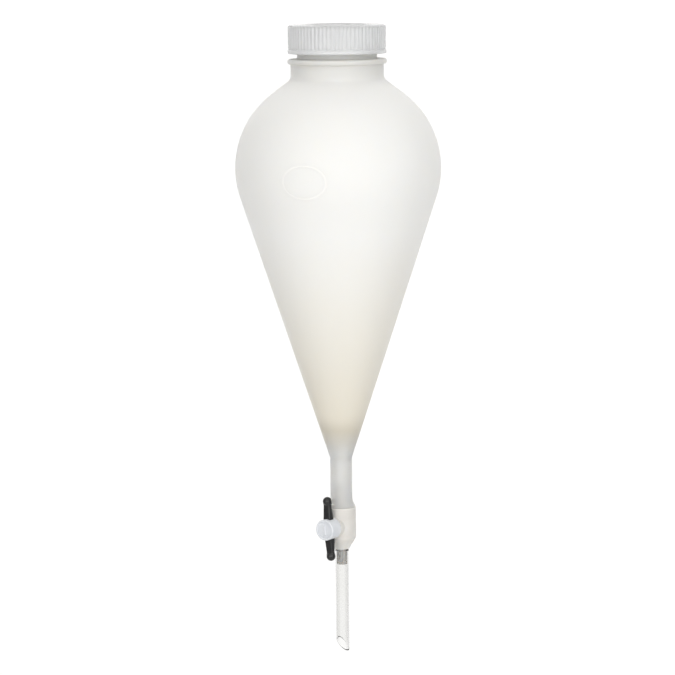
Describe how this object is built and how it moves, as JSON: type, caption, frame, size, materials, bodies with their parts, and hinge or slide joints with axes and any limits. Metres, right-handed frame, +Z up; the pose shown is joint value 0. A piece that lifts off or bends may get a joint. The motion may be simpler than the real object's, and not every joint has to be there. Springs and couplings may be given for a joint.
{
  "type": "separatory funnel",
  "caption": "Pear-shaped plastic separatory funnel with a ribbed screw cap, a plug stopcock with a bar handle, and a clear bevelled delivery tube.",
  "frame": {"origin": "on the flow axis, level with the place on the cone, 76 mm across, where a support ring carries the funnel", "axes": "+Z up the flow axis towards the cap; the stopcock's plug lies along Y with its head towards -Y; the delivery tube's tip is on the +X side"},
  "size_m": [0.12, 0.12, 0.3717],
  "materials": {
    "shell": "translucent natural polypropylene, satin",
    "cap": "translucent natural polypropylene, satin",
    "liner": "soft sealing elastomer, matte",
    "stopcock": "moulded off-white plastic, semi-gloss",
    "plug": "white fluoropolymer, waxy satin",
    "seal": "black elastomer, matte",
    "clip": "moulded white plastic",
    "handle": "black moulded plastic, gloss",
    "tube": "clear plastic tube"
  },
  "bodies": {
    "funnel": {"funnel_body": "shell", "stopcock_body": "stopcock", "inlet_seal_ring": "seal", "delivery_tube": "tube"},
    "liner": {"cap_liner": "liner"},
    "cap": {"screw_cap": "cap"},
    "plug": {"stopcock_plug": "plug", "plug_front_seal": "seal", "plug_rear_seal": "seal", "thrust_washer": "plug", "retaining_ring": "clip", "handle_bar": "handle"}
  },
  "joints": [
    {"name": "cap_lift", "type": "slide", "parent": "funnel", "child": "liner", "axis": [0, 0, 1], "range_m": [0, 0.01694]},
    {"name": "cap_turn", "type": "hinge", "parent": "liner", "child": "cap", "pos_m": [0, 0, 0.15], "axis": [0, 0, 1], "range_deg": [0, 1440]},
    {"name": "stopcock_turn", "type": "hinge", "parent": "funnel", "child": "plug", "pos_m": [0, 0, -0.1368], "axis": [0, -1, 0], "continuous": true}
  ],
  "couplings": [
    {"joint": "cap_lift", "follows": "cap_turn", "m_per_rad": 0.00067375}
  ]
}
